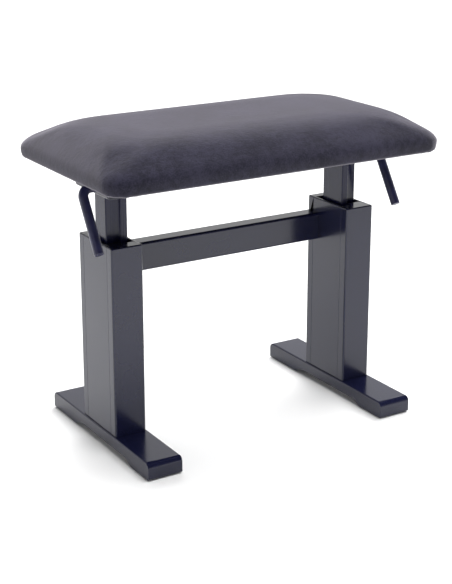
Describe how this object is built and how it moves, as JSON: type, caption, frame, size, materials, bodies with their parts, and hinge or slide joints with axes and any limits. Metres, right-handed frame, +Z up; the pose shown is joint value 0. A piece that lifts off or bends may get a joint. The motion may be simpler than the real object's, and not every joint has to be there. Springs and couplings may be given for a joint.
{
  "type": "piano bench",
  "caption": "Height-adjustable piano bench with a crowned velvet seat on two telescopic box columns, long feet, a stretcher and a gas spring release lever under each end.",
  "frame": {"origin": "centre of the bench on the floor, between the two feet", "axes": "+X to the player's right along the seat's length, +Y to the back where the stretcher is, +Z up"},
  "size_m": [0.556, 0.316, 0.466],
  "materials": {
    "black_lacquer": "high-gloss black polyester lacquer on hardwood",
    "slider_paint": "gloss black coated extrusion",
    "bracket_paint": "satin black powder coat",
    "grip_vinyl": "satin dark vinyl",
    "nylon": "moulded nylon",
    "glide_rubber": "matt rubber",
    "birch": "raw birch",
    "foam": "open-cell foam",
    "velvet": "short-pile velvet",
    "cambric": "non-woven dust cloth",
    "zinc_steel": "zinc-plated steel"
  },
  "bodies": {
    "base": {"left_foot": "black_lacquer", "right_foot": "black_lacquer", "foot_glides": "glide_rubber", "column_screws": "zinc_steel", "left_front_post": "black_lacquer", "left_back_post": "black_lacquer", "left_outer_panel": "black_lacquer", "left_inner_panel": "black_lacquer", "right_front_post": "black_lacquer", "right_back_post": "black_lacquer", "right_outer_panel": "black_lacquer", "right_inner_panel": "black_lacquer", "left_guide_bush": "nylon", "right_guide_bush": "nylon", "stretcher": "black_lacquer", "stretcher_dowels": "birch", "stretcher_bolts": "zinc_steel", "left_gas_base": "zinc_steel", "right_gas_base": "zinc_steel", "gas_base_screws": "zinc_steel", "cylinder_nuts": "zinc_steel", "left_gas_cylinder": "bracket_paint", "right_gas_cylinder": "bracket_paint", "left_rod_seal": "nylon", "right_rod_seal": "nylon"},
    "seat": {"left_slider": "slider_paint", "right_slider": "slider_paint", "left_slider_shoe": "nylon", "right_slider_shoe": "nylon", "left_gas_rod": "zinc_steel", "right_gas_rod": "zinc_steel", "left_piston": "nylon", "right_piston": "nylon", "rod_nuts": "zinc_steel", "left_head_bracket": "bracket_paint", "right_head_bracket": "bracket_paint", "slider_screws": "zinc_steel", "axle_bushes": "nylon", "seat_board": "birch", "seat_foam": "foam", "seat_cover": "velvet", "dust_cover": "cambric", "cover_staples": "zinc_steel", "seat_screws": "zinc_steel", "tee_nuts": "zinc_steel"},
    "left_lever": {"left_lever_rod": "zinc_steel", "left_lever_grip": "grip_vinyl", "left_release_cam": "zinc_steel", "left_cam_pin": "zinc_steel", "left_axle_clip": "zinc_steel"},
    "right_lever": {"right_lever_rod": "zinc_steel", "right_lever_grip": "grip_vinyl", "right_release_cam": "zinc_steel", "right_cam_pin": "zinc_steel", "right_axle_clip": "zinc_steel"},
    "left_valve": {"left_valve_pin": "zinc_steel"},
    "right_valve": {"right_valve_pin": "zinc_steel"}
  },
  "joints": [
    {"name": "seat_height", "type": "slide", "parent": "base", "child": "seat", "axis": [0, 0, 1], "range_m": [0, 0.11]},
    {"name": "left_lever_pull", "type": "hinge", "parent": "seat", "child": "left_lever", "pos_m": [-0.2017, -0.021, 0.393], "axis": [-1, 0, 0], "range_deg": [0, 12], "stiffness_Nm_per_rad": 1.5, "springref_deg": -11.46},
    {"name": "right_lever_pull", "type": "hinge", "parent": "seat", "child": "right_lever", "pos_m": [0.2017, -0.021, 0.393], "axis": [-1, 0, 0], "range_deg": [0, 12], "stiffness_Nm_per_rad": 1.5, "springref_deg": -11.46},
    {"name": "left_valve_push", "type": "slide", "parent": "seat", "child": "left_valve", "axis": [0, 0, -1], "range_m": [0, 0.0046]},
    {"name": "right_valve_push", "type": "slide", "parent": "seat", "child": "right_valve", "axis": [0, 0, -1], "range_m": [0, 0.0046]}
  ],
  "couplings": [
    {"joint": "left_valve_push", "follows": "left_lever_pull", "m_per_rad": 0.0215},
    {"joint": "right_valve_push", "follows": "right_lever_pull", "m_per_rad": 0.0215}
  ]
}
